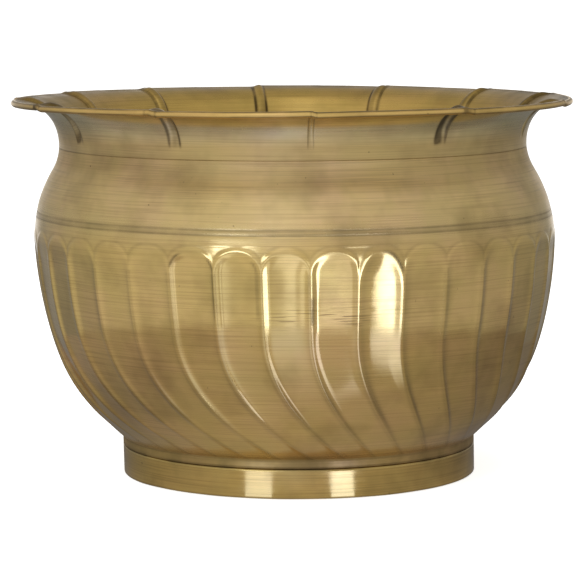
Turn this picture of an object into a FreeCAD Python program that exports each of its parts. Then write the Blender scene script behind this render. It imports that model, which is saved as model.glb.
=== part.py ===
import FreeCAD, Part
import math
import os

import Sketcher

# Brass planter pot: a spun and fluted bowl on a plain foot, with a crimped, wired lip.
#
# The pot stands on z = 0 with its axis on Z and its front towards -Y.  Angles round the pot are
# measured from the front, anticlockwise seen from above.  All sizes are in millimetres and degrees.

# name, value, what it measures
DIMENSIONS = (
    ("sheet_thickness", 0.8, "brass sheet of the bowl and the collar"),
    ("foot_radius", 80.4, "outside of the foot and of the tray above it"),
    ("foot_height", 13.0, "height of the foot ring"),
    ("foot_thickness", 1.6, "strip that the foot ring is rolled from"),
    ("foot_edge", 0.3, "worn edges of the foot ring"),
    ("tray_bend", 1.3, "outside bend between the floor and the tray wall"),
    ("tray_height", 17.2, "corner where the tray wall meets the belly"),
    ("belly_radius", 118.5, "widest reach of the flute ridges"),
    ("belly_height", 113.0, "height of the widest reach"),
    ("side_curve", 180.3, "radius of the upper, straighter part of the belly"),
    ("lower_curve", 106.7, "radius of the lower, rounder part of the belly"),
    ("band_top_radius", 117.87, "shoulder where the flutes stop"),
    ("band_top_height", 113.5, "height where the flutes stop"),
    ("shoulder_curve", 59.2, "radius of the shoulder"),
    ("line_height", 120.2, "upper of the two turned lines"),
    ("line_spacing", 2.2, "distance between the turned lines"),
    ("line_radius", 0.3, "cutter radius of the turned lines"),
    ("throat_radius", 106.0, "narrowest part of the neck, outside"),
    ("throat_height", 150.1, "height of the narrowest part"),
    ("throat_curve", 22.2, "hollow of the neck"),
    ("seam_height", 148.5, "butt joint of the bowl and the collar"),
    ("flare_curve", 16.7, "hollow of the flare under the lip"),
    ("lip_rise", 8.5, "slope of the lip above level"),
    ("rim_radius", 127.0, "outside of the wired edge"),
    ("rim_height", 168.9, "centre of the wired edge"),
    ("wire_radius", 0.6, "wire inside the rolled edge"),
    ("roll_angle", 285.0, "how far the edge is rolled round the wire"),
    ("flute_count", 36.0, "flutes round the belly"),
    ("flute_offset", -2.0, "middle of the flute nearest the front"),
    ("flute_depth", 2.4, "depth of a flute below its ridges at the belly"),
    ("flute_twist", 21.0, "sideways sweep of the flutes at their lower ends"),
    ("flute_fade", 34.0, "height over which the flutes run out downwards"),
    ("arch_height", 10.0, "rise of the round arch at the top of a flute"),
    ("arch_margin", 1.6, "plain strip between the arches and the height where the flutes stop"),
    ("arch_step", 0.5, "raised edge of the arches above the shoulder"),
    ("crimp_depth", 1.7, "height of the creases pressed up into the lip"),
    ("crimp_width", 5.6, "width of a crease at its base"),
    ("crimp_start", 153.0, "height where the creases begin"),
    ("neck_fill_width", 5.0, "height of the brazed fillet inside the neck joint"),
    ("neck_fill_thickness", 0.7, "thickness of the brazed fillet inside the neck joint"),
    ("foot_fill", 2.2, "leg of the brazed fillet inside the foot"),
)

# The creases were pressed by eye, so their places round the lip are uneven.
CRIMP_ANGLES = (-92.0, -62.0, -28.0, 4.0, 39.0, 73.0, 108.0, 131.0, 159.0, 187.0, 213.0, 236.0)

FRONT = -90.0               # direction of the front, measured from +X
FLUTE_STEPS = 12            # spans across one flute
CHANNEL_STEPS = 30          # spans up the fluted band below its arches
ARCH_STEPS = 14             # spans up the arches
PLAIN_STEPS = 8             # spans along a plain arc of the wall
LIP_SECTORS = 12            # patches round the creased lip
LIP_STEPS = 60              # spans across one patch of the lip
FLARE_STEPS = 26            # spans from the neck joint to the wired edge
ROLL_STEPS = 24             # spans round the rolled edge
ARCH_EDGE = 0.18            # width of the arch's raised edge, as a share of half a flute
CORNER_BLEND = 3.0          # height over which the wall takes its full thickness at the corner
CREASE_RISE = 9.0           # length over which a crease comes up out of the neck
CREASE_END = 2.5            # length over which it runs out beside the wired edge
SAME_PLACE = 1e-4           # two points closer than this are one

doc = FreeCAD.newDocument("planter_pot")


# ---------------------------------------------------------------- the sheet of driving dimensions
def make_sheet():
    sheet = doc.addObject("Spreadsheet::Sheet", "sizes")
    sheet.set("A1", "dimension")
    sheet.set("B1", "value")
    sheet.set("C1", "what it measures")
    for row, (name, value, note) in enumerate(DIMENSIONS, start=2):
        sheet.set("A%d" % row, name)
        sheet.set("B%d" % row, str(value))
        sheet.setAlias("B%d" % row, name)
        sheet.set("C%d" % row, note)
    doc.recompute()
    return sheet


sizes = make_sheet()


def size(name):
    """Value of a driving dimension."""
    return float(sizes.get(name))


# ---------------------------------------------------------------- plane geometry in the (r, z) plane
def circles_meet(centre_a, radius_a, centre_b, radius_b, side):
    """Point where two circles cross, on the left (+1) or right (-1) going from a to b."""
    dx = centre_b[0] - centre_a[0]
    dz = centre_b[1] - centre_a[1]
    gap = math.hypot(dx, dz)
    along = (radius_a**2 - radius_b**2 + gap**2) / (2 * gap)
    across = side * math.sqrt(radius_a**2 - along**2)
    return (centre_a[0] + (along * dx - across * dz) / gap,
            centre_a[1] + (along * dz + across * dx) / gap)


def polar(centre, radius, angle):
    return (centre[0] + radius * math.cos(angle), centre[1] + radius * math.sin(angle))


def direction(centre, point):
    return math.atan2(point[1] - centre[1], point[0] - centre[0])


def smooth(fraction):
    """Even blend from 0 to 1."""
    fraction = min(1.0, max(0.0, fraction))
    return fraction * fraction * (3 - 2 * fraction)


class Outline:
    """Centres and joints of the tangent arcs that make the pot's outside."""

    def __init__(self):
        belly = (size("belly_radius"), size("belly_height"))
        corner = (size("foot_radius"), size("tray_height"))
        self.side_centre = (belly[0] - size("side_curve"), belly[1])
        inset = size("side_curve") - size("lower_curve")
        self.lower_centre = circles_meet(self.side_centre, inset, corner, size("lower_curve"), 1)
        self.lower_top = direction(self.side_centre, self.lower_centre)
        self.lower_end = direction(self.lower_centre, corner)
        self.side_joint = polar(self.side_centre, size("side_curve"), self.lower_top)

        band_top = (size("band_top_radius"), size("band_top_height"))
        self.throat_centre = (size("throat_radius") + size("throat_curve"), size("throat_height"))
        reach = size("shoulder_curve") + size("throat_curve")
        self.shoulder_centre = circles_meet(band_top, size("shoulder_curve"),
                                            self.throat_centre, reach, 1)
        toward_throat = direction(self.shoulder_centre, self.throat_centre)
        self.shoulder_joint = polar(self.shoulder_centre, size("shoulder_curve"), toward_throat)

        rise = math.radians(size("lip_rise"))
        self.bead_radius = size("wire_radius") + size("sheet_thickness")
        self.bead_centre = (size("rim_radius") - self.bead_radius, size("rim_height"))
        self.lip_end = polar(self.bead_centre, size("wire_radius"), rise + math.pi / 2)
        # the flare's centre lies under the lip, and the flare meets the throat's arc smoothly
        below = polar(self.lip_end, size("flare_curve"), rise - math.pi / 2)
        inset = size("throat_curve") - size("flare_curve")
        offset = (below[0] - self.throat_centre[0], below[1] - self.throat_centre[1])
        along = offset[0] * math.cos(rise) + offset[1] * math.sin(rise)
        across = offset[1] * math.cos(rise) - offset[0] * math.sin(rise)
        slide = -along - math.sqrt(inset**2 - across**2)
        self.flare_centre = polar(below, slide, rise)
        self.flare_start = direction(self.throat_centre, self.flare_centre)
        self.flare_end = rise + math.pi / 2

    def ridge_radius(self, height):
        """Reach of the flute ridges at a height."""
        if height > self.side_joint[1]:
            centre, radius = self.side_centre, size("side_curve")
        else:
            centre, radius = self.lower_centre, size("lower_curve")
        return centre[0] + math.sqrt(radius**2 - (height - centre[1])**2)

    def ridge_slope(self, height):
        """Sine of the belly's steepness at a height: 1 where it is upright."""
        if height > self.side_joint[1]:
            centre, radius = self.side_centre, size("side_curve")
        else:
            centre, radius = self.lower_centre, size("lower_curve")
        return math.sqrt(1 - ((height - centre[1]) / radius)**2)

    def shoulder_radius(self, height, inset):
        """Radius of the shoulder at a height, inset from its outside."""
        curve = size("shoulder_curve") - inset
        return self.shoulder_centre[0] + math.sqrt(curve**2 - (height - self.shoulder_centre[1])**2)

    def throat_radius_at(self, height, inset):
        """Radius of the neck's hollow at a height, inset from its outside."""
        curve = size("throat_curve") + inset
        return self.throat_centre[0] - math.sqrt(curve**2 - (height - self.throat_centre[1])**2)


outline = Outline()


# ---------------------------------------------------------------- sketches and bodies
def origin_plane(body, role):
    return next(item for item in body.Origin.OriginFeatures if item.Role == role)


def add_body(label):
    body = doc.addObject("PartDesign::Body", label)
    body.Label = label
    return body


def add_sketch(body, name):
    """A sketch in the body's own XZ plane, where x is the radius and y the height."""
    sketch = body.newObject("Sketcher::SketchObject", name)
    sketch.AttachmentSupport = [(origin_plane(body, "XZ_Plane"), "")]
    sketch.MapMode = "FlatFace"
    return sketch


def point(pair):
    return FreeCAD.Vector(pair[0], pair[1], 0)


def add_line(sketch, start, end):
    return sketch.addGeometry(Part.LineSegment(point(start), point(end)), False)


def add_arc(sketch, centre, radius, start_angle, end_angle):
    """Arc that runs anticlockwise from start_angle to end_angle, in radians."""
    circle = Part.Circle(point(centre), FreeCAD.Vector(0, 0, 1), radius)
    return sketch.addGeometry(Part.ArcOfCircle(circle, start_angle, end_angle), False)


def fix(sketch, kind, *where, value=None, cell=None):
    """Add a constraint, driven by a cell or a formula of cells when one is given."""
    arguments = where if value is None else where + (value,)
    index = sketch.addConstraint(Sketcher.Constraint(kind, *arguments))
    if cell:
        sketch.setExpression("Constraints[%d]" % index, cell)


# ---------------------------------------------------------------- skins made from formulas
def cylinder_point(radius, angle, height):
    turn = math.radians(angle + FRONT)
    return FreeCAD.Vector(radius * math.cos(turn), radius * math.sin(turn), height)


def turned_copies(face, count):
    """The face and its copies, evenly round the axis."""
    copies = []
    for index in range(count):
        copy = face.copy()
        copy.rotate(FreeCAD.Vector(0, 0, 0), FreeCAD.Vector(0, 0, 1), index * 360.0 / count)
        copies.append(copy)
    return copies


def even_knots(points):
    """Knots and their repeats for a cubic that starts and ends on its first and last points."""
    knots = [float(index) for index in range(points - 2)]
    repeats = [4] + [1] * (points - 4) + [4]
    return knots, repeats


def skin(grid):
    """One smooth cubic face over a fine grid of control points.

    Neighbours that share a row of the grid share that edge exactly, so they can be sewn.
    """
    row_knots, row_repeats = even_knots(len(grid))
    knots, repeats = even_knots(len(grid[0]))
    surface = Part.BSplineSurface()
    surface.buildFromPolesMultsKnots(grid, row_repeats, repeats, row_knots, knots, False, False, 3, 3)
    return surface.toShape()


def rim_edges(faces, height):
    """The edges of the faces that lie in a horizontal plane."""
    found = []
    for face in faces:
        for edge in face.Edges:
            ends = [edge.valueAt(edge.FirstParameter), edge.valueAt(edge.LastParameter)]
            middle = edge.valueAt((edge.FirstParameter + edge.LastParameter) / 2)
            if all(abs(place.z - height) < SAME_PLACE for place in ends + [middle]):
                found.append(edge)
    return found


def disc_face(faces, height):
    """Flat face that closes the faces' rim at a height."""
    return Part.Face(Part.Wire(Part.__sortEdges__(rim_edges(faces, height))))


def ring_face(outer_faces, inner_faces, height):
    """Flat ring between two rims at a height."""
    return disc_face(outer_faces, height).cut(disc_face(inner_faces, height)).Faces[0]


def closed_solid(faces):
    skins = Part.makeCompound(faces)
    skins.sewShape()
    solid = Part.Solid(skins.Shells[0])
    if solid.Volume < 0:
        solid.reverse()
    return solid


def arc_points(centre, radius, start_angle, end_angle, steps):
    return [polar(centre, radius, start_angle + (end_angle - start_angle) * step / steps)
            for step in range(steps + 1)]


def line_points(start, end, steps):
    return [(start[0] + (end[0] - start[0]) * step / steps,
             start[1] + (end[1] - start[1]) * step / steps)
            for step in range(steps + 1)]


# ---------------------------------------------------------------- fluted band of the bowl
def flute_relief(across, height):
    """Height of the skin above the ridges' outline: across runs from -1 to 1 over one flute."""
    fade = min(1.0, (height - size("tray_height")) / size("flute_fade"))
    run_out = 1 - (1 - fade)**2
    narrowing = outline.ridge_radius(height) / size("belly_radius")
    depth = size("flute_depth") * run_out * narrowing
    spring = size("band_top_height") - size("arch_margin") - size("arch_height")
    arch = max(0.0, (height - spring) / size("arch_height"))
    ring = math.hypot(across, arch)
    if ring < 1:
        return -depth * (1 - ring**2)
    return -size("arch_step") * smooth((ring - 1) / ARCH_EDGE)


def flute_sweep(height):
    """Sideways turn of the flutes, in degrees, which grows towards the foot."""
    if height > outline.side_joint[1]:
        return 0.0
    turn = direction(outline.lower_centre, (outline.ridge_radius(height), height))
    share = (outline.lower_top - turn) / (outline.lower_top - outline.lower_end)
    return size("flute_twist") * share**2


def band_radius(across, height, inner):
    top = size("band_top_height")
    bottom = size("tray_height")
    thickness = size("sheet_thickness")
    # the skin meets the shoulder exactly where the flutes stop
    meeting = smooth((height - top + size("arch_height")) / size("arch_height"))
    gap = size("band_top_radius") - outline.ridge_radius(top) - flute_relief(across, top)
    radius = outline.ridge_radius(height) + flute_relief(across, height) + gap * meeting**4
    if not inner:
        return radius
    slanted = thickness / outline.ridge_slope(height)
    level = thickness + (slanted - thickness) * smooth((height - bottom) / CORNER_BLEND)
    top_level = size("band_top_radius") - outline.shoulder_radius(top, thickness)
    return radius - level - (top_level - level) * meeting


def band_heights():
    """Heights of the band's rows, closer together over the arches."""
    bottom = size("tray_height")
    top = size("band_top_height")
    spring = top - size("arch_height") - 2 * size("arch_margin")
    low = [bottom + (spring - bottom) * row / CHANNEL_STEPS for row in range(CHANNEL_STEPS)]
    high = [spring + (top - spring) * row / ARCH_STEPS for row in range(ARCH_STEPS + 1)]
    return low + high


def band_faces(inner):
    half_pitch = 180.0 / size("flute_count")
    grid = []
    for height in band_heights():
        line = []
        for step in range(FLUTE_STEPS + 1):
            across = 2.0 * step / FLUTE_STEPS - 1
            angle = size("flute_offset") + across * half_pitch + flute_sweep(height)
            line.append(cylinder_point(band_radius(across, height, inner), angle, height))
        grid.append(line)
    return turned_copies(skin(grid), int(size("flute_count")))


def plain_faces(points, sweep):
    """Turned stretch of the wall, in as many patches as there are flutes."""
    half_pitch = 180.0 / size("flute_count")
    grid = []
    for radius, height in points:
        line = []
        for step in range(FLUTE_STEPS + 1):
            across = 2.0 * step / FLUTE_STEPS - 1
            angle = size("flute_offset") + across * half_pitch + sweep
            line.append(cylinder_point(radius, angle, height))
        grid.append(line)
    return turned_copies(skin(grid), int(size("flute_count")))


# ---------------------------------------------------------------- bowl
def shoulder_spans():
    """Outside of the shoulder as arcs, with the two turned lines cut into it."""
    centre = outline.shoulder_centre
    curve = size("shoulder_curve")
    start = direction(centre, (size("band_top_radius"), size("band_top_height")))
    spans = []
    for height in (size("line_height") - size("line_spacing"), size("line_height")):
        middle = math.asin((height - centre[1]) / curve)
        half = size("line_radius") / curve
        spans.append(arc_points(centre, curve, start, middle - half, PLAIN_STEPS))
        cutter = polar(centre, curve, middle)
        entry = direction(cutter, polar(centre, curve, middle - half))
        leave = direction(cutter, polar(centre, curve, middle + half))
        spans.append(arc_points(cutter, size("line_radius"), entry + 2 * math.pi, leave, PLAIN_STEPS))
        spans[-1][0] = polar(centre, curve, middle - half)
        spans[-1][-1] = polar(centre, curve, middle + half)
        start = middle + half
    end = direction(centre, outline.throat_centre)
    spans.append(arc_points(centre, curve, start, end, 2 * PLAIN_STEPS))
    return spans


def throat_span(inset):
    """Hollow of the neck from the shoulder up to the neck joint."""
    curve = size("throat_curve") + inset
    start = direction(outline.throat_centre, outline.shoulder_centre)
    end = -math.pi - math.asin((size("seam_height") - outline.throat_centre[1]) / curve)
    return arc_points(outline.throat_centre, curve, start, end, PLAIN_STEPS)


def inner_shoulder_span():
    thickness = size("sheet_thickness")
    centre = outline.shoulder_centre
    top = size("band_top_height")
    start = direction(centre, (outline.shoulder_radius(top, thickness), top))
    end = direction(centre, outline.throat_centre)
    return arc_points(centre, size("shoulder_curve") - thickness, start, end, 2 * PLAIN_STEPS)


def tray_spans(inset):
    """Bend and short wall of the tray, set in from the outside."""
    bend = size("tray_bend")
    centre = (size("foot_radius") - bend, size("foot_height") + bend)
    bend_end = (size("foot_radius") - inset, centre[1])
    wall_end = (size("foot_radius") - inset, size("tray_height"))
    return [arc_points(centre, bend - inset, -math.pi / 2, 0.0, PLAIN_STEPS),
            line_points(bend_end, wall_end, PLAIN_STEPS)]


def make_bowl():
    thickness = size("sheet_thickness")
    sweep = size("flute_twist")
    outer = band_faces(False)
    inner = band_faces(True)
    for span in shoulder_spans() + [throat_span(0.0)]:
        outer += plain_faces(span, 0.0)
    for span in (inner_shoulder_span(), throat_span(thickness)):
        inner += plain_faces(span, 0.0)
    for span in tray_spans(0.0):
        outer += plain_faces(span, sweep)
    for span in tray_spans(thickness):
        inner += plain_faces(span, sweep)
    floor = disc_face(outer, size("foot_height"))
    tray = disc_face(inner, size("foot_height") + thickness)
    joint = ring_face(outer, inner, size("seam_height"))
    piece = doc.addObject("Part::Feature", "bowl")
    piece.Shape = closed_solid(outer + inner + [floor, tray, joint])
    return piece


# ---------------------------------------------------------------- mouth collar
class FlarePath:
    """Outside of the collar from the neck joint to the wired edge, measured along the sheet."""

    def __init__(self):
        throat = size("throat_curve")
        flare = size("flare_curve")
        seam = (size("seam_height") - outline.throat_centre[1]) / throat
        self.throat_start = math.pi - math.asin(seam)
        self.throat_length = throat * (self.throat_start - outline.flare_start)
        self.flare_length = flare * (outline.flare_start - outline.flare_end)
        self.lip_start = polar(outline.flare_centre, flare, outline.flare_end)
        self.lip_length = math.dist(self.lip_start, outline.lip_end)
        self.length = self.throat_length + self.flare_length + self.lip_length

    def place(self, distance):
        """Point of the outside and the direction through the sheet there."""
        if distance < self.throat_length:
            angle = self.throat_start - distance / size("throat_curve")
            return polar(outline.throat_centre, size("throat_curve"), angle), angle
        distance -= self.throat_length
        if distance < self.flare_length:
            angle = outline.flare_start - distance / size("flare_curve")
            return polar(outline.flare_centre, size("flare_curve"), angle), angle
        distance -= self.flare_length
        along = outline.flare_end - math.pi / 2
        return polar(self.lip_start, distance, along), outline.flare_end


path = FlarePath()


def crease_height(distance, radius, angle):
    """How far the sheet is pressed up where a crease crosses it."""
    half_width = size("crimp_width") / 2
    start = math.asin((size("crimp_start") - outline.throat_centre[1]) / size("throat_curve"))
    start = (path.throat_start - math.pi + start) * size("throat_curve")
    rise = smooth((distance - start) / CREASE_RISE) * smooth((path.length - distance) / CREASE_END)
    away = min(abs((angle - crimp + 180) % 360 - 180) for crimp in CRIMP_ANGLES)
    offset = min(1.0, math.radians(away) * radius / half_width)
    return size("crimp_depth") * rise * (1 + math.cos(math.pi * offset)) / 2


def lip_faces(points):
    """Patches round the lip through a section that may change with the angle."""
    pitch = 360.0 / LIP_SECTORS
    faces = []
    for sector in range(LIP_SECTORS):
        grid = []
        for row in points:
            line = []
            for step in range(LIP_STEPS + 1):
                angle = ((sector + step / LIP_STEPS) * pitch) % 360.0
                radius, height = row(angle)
                line.append(cylinder_point(radius, angle, height))
            grid.append(line)
        faces.append(skin(grid))
    return faces


def flare_row(distance, inset):
    """Row of the collar's skin at a distance along the sheet."""
    place, through = path.place(distance)

    def at_angle(angle):
        lift = inset + crease_height(distance, place[0], angle)
        return polar(place, lift, through)

    return at_angle


def fixed_row(place):
    return lambda angle: place


def make_mouth_collar():
    thickness = size("sheet_thickness")
    distances = [path.length * step / FLARE_STEPS for step in range(FLARE_STEPS + 1)]
    joint_height = size("seam_height")
    joint_place = (outline.throat_radius_at(joint_height, thickness), joint_height)
    outer = lip_faces([flare_row(distance, 0.0) for distance in distances])
    inner = lip_faces([fixed_row(joint_place)]
                      + [flare_row(distance, thickness) for distance in distances[1:]])
    start = outline.flare_end
    end = start - math.radians(size("roll_angle"))
    inside = arc_points(outline.bead_centre, size("wire_radius"), start, end, ROLL_STEPS)
    outside = arc_points(outline.bead_centre, outline.bead_radius, end, start, ROLL_STEPS)
    edge = line_points(inside[-1], outside[0], PLAIN_STEPS)
    roll = []
    for span in (inside, edge, outside):
        roll += lip_faces([fixed_row(place) for place in span])
    joint = ring_face(outer, inner, joint_height)
    piece = doc.addObject("Part::Feature", "mouth_collar")
    piece.Shape = closed_solid(outer + roll + inner + [joint])
    return piece


# ---------------------------------------------------------------- turned and bent pieces
def add_revolution(body, sketch):
    turned = body.newObject("PartDesign::Revolution", body.Label + "_turned")
    turned.Profile = sketch
    turned.ReferenceAxis = (sketch, ["V_Axis"])
    turned.Angle = 360.0
    doc.recompute()
    return turned


def make_foot_ring():
    """Strip bent to a ring: a rectangle turned about the axis, with worn lower edges."""
    body = add_body("foot_ring")
    sketch = add_sketch(body, "foot_section")
    outside = size("foot_radius")
    inside = outside - size("foot_thickness")
    top = size("foot_height")
    corners = [(inside, 0.0), (outside, 0.0), (outside, top), (inside, top)]
    for index, corner in enumerate(corners):
        add_line(sketch, corner, corners[(index + 1) % 4])
    for index in range(4):
        fix(sketch, "Coincident", index, 2, (index + 1) % 4, 1)
    for index in (0, 2):
        fix(sketch, "Horizontal", index)
    for index in (1, 3):
        fix(sketch, "Vertical", index)
    fix(sketch, "PointOnObject", 0, 1, -1)
    fix(sketch, "DistanceX", -1, 1, 0, 2, value=outside, cell="sizes.foot_radius")
    fix(sketch, "DistanceX", 0, 1, 0, 2, value=outside - inside, cell="sizes.foot_thickness")
    fix(sketch, "DistanceY", 1, 1, 1, 2, value=top, cell="sizes.foot_height")
    turned = add_revolution(body, sketch)
    lower = ["Edge%d" % (index + 1) for index, edge in enumerate(turned.Shape.Edges)
             if edge.BoundBox.ZMax < SAME_PLACE]
    worn = body.newObject("PartDesign::Fillet", "foot_worn_edges")
    worn.Base = (turned, lower)
    worn.setExpression("Radius", "sizes.foot_edge")
    return body


def make_foot_fill():
    """Brazed fillet in the corner between the foot ring and the bowl's floor."""
    body = add_body("foot_braze")
    sketch = add_sketch(body, "foot_fill_section")
    wall = size("foot_radius") - size("foot_thickness")
    floor = size("foot_height")
    leg = size("foot_fill")
    corners = [(wall, floor - leg), (wall, floor), (wall - leg, floor)]
    for index, corner in enumerate(corners):
        add_line(sketch, corner, corners[(index + 1) % 3])
    for index in range(3):
        fix(sketch, "Coincident", index, 2, (index + 1) % 3, 1)
    fix(sketch, "Vertical", 0)
    fix(sketch, "Horizontal", 1)
    fix(sketch, "DistanceX", -1, 1, 0, 2, value=wall, cell="sizes.foot_radius - sizes.foot_thickness")
    fix(sketch, "DistanceY", -1, 1, 0, 2, value=floor, cell="sizes.foot_height")
    fix(sketch, "DistanceY", 0, 1, 0, 2, value=leg, cell="sizes.foot_fill")
    fix(sketch, "DistanceX", 1, 2, 1, 1, value=leg, cell="sizes.foot_fill")
    add_revolution(body, sketch)
    return body


def make_neck_fill():
    """Brazed band that bridges the neck joint on the inside, following the neck's hollow."""
    body = add_body("neck_braze")
    sketch = add_sketch(body, "neck_fill_section")
    centre = outline.throat_centre
    wall = size("throat_curve") + size("sheet_thickness")
    face = wall + size("neck_fill_thickness")
    middle = math.pi - math.asin((size("seam_height") - centre[1]) / wall)
    half = size("neck_fill_width") / 2 / wall
    add_arc(sketch, centre, wall, middle - half, middle + half)
    add_line(sketch, polar(centre, wall, middle + half), polar(centre, face, middle + half))
    add_arc(sketch, centre, face, middle - half, middle + half)
    add_line(sketch, polar(centre, face, middle - half), polar(centre, wall, middle - half))
    fix(sketch, "Coincident", 0, 2, 1, 1)
    fix(sketch, "Coincident", 1, 2, 2, 2)
    fix(sketch, "Coincident", 2, 1, 3, 1)
    fix(sketch, "Coincident", 3, 2, 0, 1)
    fix(sketch, "Coincident", 0, 3, 2, 3)
    fix(sketch, "DistanceX", -1, 1, 0, 3, value=centre[0],
        cell="sizes.throat_radius + sizes.throat_curve")
    fix(sketch, "DistanceY", -1, 1, 0, 3, value=centre[1], cell="sizes.throat_height")
    fix(sketch, "Radius", 0, value=wall, cell="sizes.throat_curve + sizes.sheet_thickness")
    fix(sketch, "Radius", 2, value=face,
        cell="sizes.throat_curve + sizes.sheet_thickness + sizes.neck_fill_thickness")
    upper = polar(centre, wall, middle - half)[1]
    lower = polar(centre, wall, middle + half)[1]
    fix(sketch, "DistanceY", -1, 1, 0, 1, value=upper,
        cell="sizes.seam_height + sizes.neck_fill_width / 2")
    fix(sketch, "DistanceY", 0, 2, 0, 1, value=upper - lower, cell="sizes.neck_fill_width")
    fix(sketch, "PointOnObject", 0, 3, 1)
    fix(sketch, "PointOnObject", 0, 3, 3)
    add_revolution(body, sketch)
    return body


def make_rim_wire():
    """Wire hoop inside the rolled edge."""
    hoop = doc.addObject("Part::Torus", "rim_wire")
    hoop.Label = "rim_wire"
    hoop.setExpression("Radius1", "sizes.rim_radius - sizes.sheet_thickness - sizes.wire_radius")
    hoop.setExpression("Radius2", "sizes.wire_radius")
    hoop.setExpression("Placement.Base.z", "sizes.rim_height")
    return hoop


# ---------------------------------------------------------------- the whole pot
def check(pieces):
    """Stop if anything failed to build."""
    for item in doc.Objects:
        if "Invalid" in item.State or "Error" in item.State:
            raise RuntimeError("%s did not recompute" % item.Label)
    for piece in pieces:
        if piece.Shape.isNull() or not piece.Shape.isValid():
            raise RuntimeError("%s has no sound shape" % piece.Label)


def main():
    pieces = [
        make_bowl(),
        make_mouth_collar(),
        make_rim_wire(),
        make_foot_ring(),
        make_neck_fill(),
        make_foot_fill(),
    ]
    doc.recompute()
    check(pieces)
    os.makedirs("parts", exist_ok=True)
    for piece in pieces:
        piece.Shape.exportStep("parts/%s.step" % piece.Label)
        box = piece.Shape.BoundBox
        print("%-14s %8.1f mm3  z %.2f to %.2f  reach %.2f"
              % (piece.Label, piece.Shape.Volume, box.ZMin, box.ZMax, box.XMax))


main()
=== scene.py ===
import math

import bpy
import numpy as np
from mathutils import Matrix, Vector


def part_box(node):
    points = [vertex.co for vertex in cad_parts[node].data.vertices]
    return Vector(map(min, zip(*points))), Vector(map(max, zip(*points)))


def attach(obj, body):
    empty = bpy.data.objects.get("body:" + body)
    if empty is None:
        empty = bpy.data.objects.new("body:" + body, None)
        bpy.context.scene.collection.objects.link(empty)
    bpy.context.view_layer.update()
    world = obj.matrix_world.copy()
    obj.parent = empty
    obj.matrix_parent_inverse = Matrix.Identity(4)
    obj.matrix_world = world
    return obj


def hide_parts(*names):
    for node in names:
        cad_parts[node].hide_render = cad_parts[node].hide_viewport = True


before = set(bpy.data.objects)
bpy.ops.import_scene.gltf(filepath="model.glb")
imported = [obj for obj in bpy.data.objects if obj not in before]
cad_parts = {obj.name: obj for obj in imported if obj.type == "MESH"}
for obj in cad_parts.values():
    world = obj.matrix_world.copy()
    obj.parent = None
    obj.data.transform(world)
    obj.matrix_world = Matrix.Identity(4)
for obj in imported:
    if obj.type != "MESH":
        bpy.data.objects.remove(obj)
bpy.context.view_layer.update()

# Looks of the brass planter pot.  Shapes are worked out in millimetres in the (radius, height)
# plane, turned round Z and written in metres.  Angles round the pot are in degrees, measured from
# the front (-Y), anticlockwise seen from above.

MM = 0.001

# ---------------------------------------------------------------- sizes, in millimetres and degrees
FOOT_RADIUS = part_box("foot_ring")[1].x / MM
FOOT_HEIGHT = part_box("foot_ring")[1].z / MM
SEAM_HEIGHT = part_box("bowl")[1].z / MM
RIM_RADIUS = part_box("mouth_collar")[1].x / MM
WIRE_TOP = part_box("rim_wire")[1].z / MM
WIRE_RADIUS = (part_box("rim_wire")[1].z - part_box("rim_wire")[0].z) / 2 / MM

SHEET = 0.8                 # thickness of the brass sheet
FOOT_STRIP = 1.6            # thickness of the foot's strip
SEEN_BEND = 0.8             # bend under the tray wall, tighter than the CAD's to suit its look
TRAY_HEIGHT = 17.2          # corner where the tray wall meets the belly
BELLY = (118.5, 113.0)      # widest reach of the flute ridges
SIDE_CURVE = 180.3          # upper, straighter part of the belly
LOWER_CURVE = 106.7         # lower, rounder part of the belly
BAND_TOP = (117.87, 113.5)  # shoulder where the flutes stop
SHOULDER_CURVE = 59.2
THROAT = (106.0, 150.1)     # narrowest part of the neck
THROAT_CURVE = 22.2
FLARE_CURVE = 16.7
LIP_RISE = 8.5              # slope of the lip above level
ROLL_ANGLE = 285.0          # how far the edge is rolled round its wire
BEAD_RADIUS = WIRE_RADIUS + SHEET
BEAD = (RIM_RADIUS - BEAD_RADIUS, WIRE_TOP - WIRE_RADIUS)

FLUTES = 36
FLUTE_PITCH = 360.0 / FLUTES
FLUTE_OFFSET = -2.0         # middle of the flute nearest the front
FLUTE_TWIST = 21.0          # sideways sweep of the flutes at their lower ends
FLUTE_FADE = 30.0           # height over which they run out downwards
# a flute from its left ridge to its right one: place across, and how far the sheet turns to the right
FLUTE_FACING = ((-1.0, 0.0), (-0.9, 25.0), (-0.6, 2.0), (0.6, -4.0), (0.92, -15.0), (1.0, 0.0))
STEEP_FACING = ((-1.0, 0.0), (-0.84, 22.0), (-0.46, 1.5), (0.4, -4.5), (0.8, -15.0), (1.0, 0.0))
ROUND_FACING = ((-1.0, 0.0), (-0.9, 25.0), (-0.65, 5.0), (0.0, 0.0), (0.3, -3.0), (0.65, -9.0),
                (0.92, -17.0), (1.0, 0.0))
OWN_FACINGS = {2: STEEP_FACING, 0: ROUND_FACING, 35: ROUND_FACING}     # by flute
FLUTE_HALF = 11.08          # half a flute, along the belly
LOWER_SPREAD = 1.5          # fullness of the lower belly
ARCH_HEIGHT = 10.0
ARCH_MARGIN = 1.6           # plain strip above the arches
ARCH_FADE = 17.0            # height over which the flutes get shallower upwards
ARCH_STEP = 0.22            # raised edge of the arches
ARCH_EDGE = 0.2             # width of that edge, as a share of half a flute

LINE_HEIGHTS = (118.0, 120.2)
LINE_DEPTH = 0.1
LINE_WIDTH = 0.45
SEAM_DEPTH = 0.04
SEAM_WIDTH = 0.5

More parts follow.
